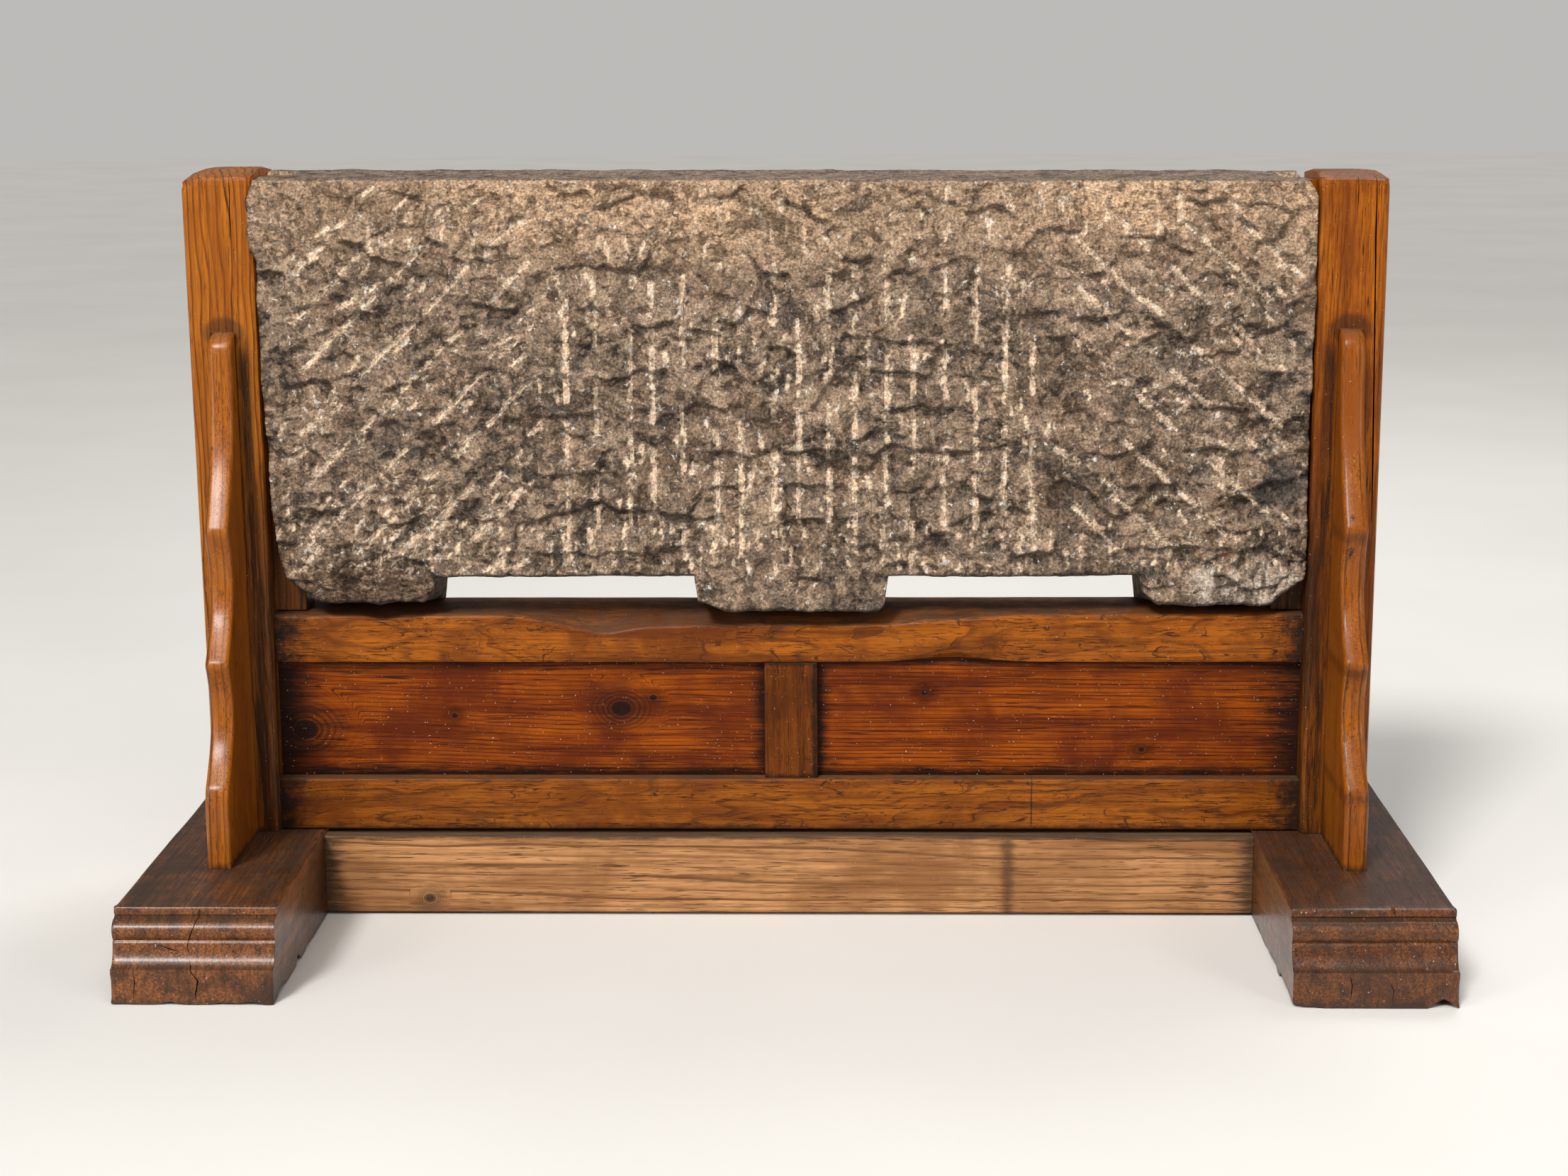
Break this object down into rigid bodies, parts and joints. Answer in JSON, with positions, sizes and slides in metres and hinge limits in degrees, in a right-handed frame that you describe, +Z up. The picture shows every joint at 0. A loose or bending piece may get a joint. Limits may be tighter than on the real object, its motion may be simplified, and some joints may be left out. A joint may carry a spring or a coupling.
{
  "type": "carved stone stele in a wooden screen stand",
  "caption": "Rough-chiselled stone slab on short feet, held upright by a wooden screen stand with tongued posts, scalloped brackets, a panelled frame and moulded shoe feet",
  "frame": {"origin": "on the floor, under the middle of the stand", "axes": "+X along the slab to the right seen from the front, +Y from the front to the back, +Z up"},
  "size_m": [1.451, 0.746, 0.873],
  "materials": {
    "stone": "rough-chiselled grey-brown limestone, dusty, with pale tool furrows",
    "honey_wood": "honey-coloured ring-grained hardwood, worn satin varnish",
    "rail_wood": "orange-brown hardwood with arched grain, worn, dusty, dark at the ends",
    "panel_wood": "red-brown softwood boards, darkened along the edges",
    "pale_wood": "pale unvarnished wood, dry and weathered",
    "dark_wood": "dark red-brown hardwood, polished on its mouldings, dusty on top"
  },
  "bodies": {
    "root": {"stone_slab": "stone", "post_left": "honey_wood", "post_right": "honey_wood", "bracket_front_left": "honey_wood", "bracket_front_right": "honey_wood", "bracket_back_left": "honey_wood", "bracket_back_right": "honey_wood", "foot_left": "dark_wood", "foot_right": "dark_wood", "upper_rail": "rail_wood", "lower_rail": "rail_wood", "muntin": "rail_wood", "panel_left": "panel_wood", "panel_right": "panel_wood", "stretcher": "pale_wood"}
  },
  "joints": []
}
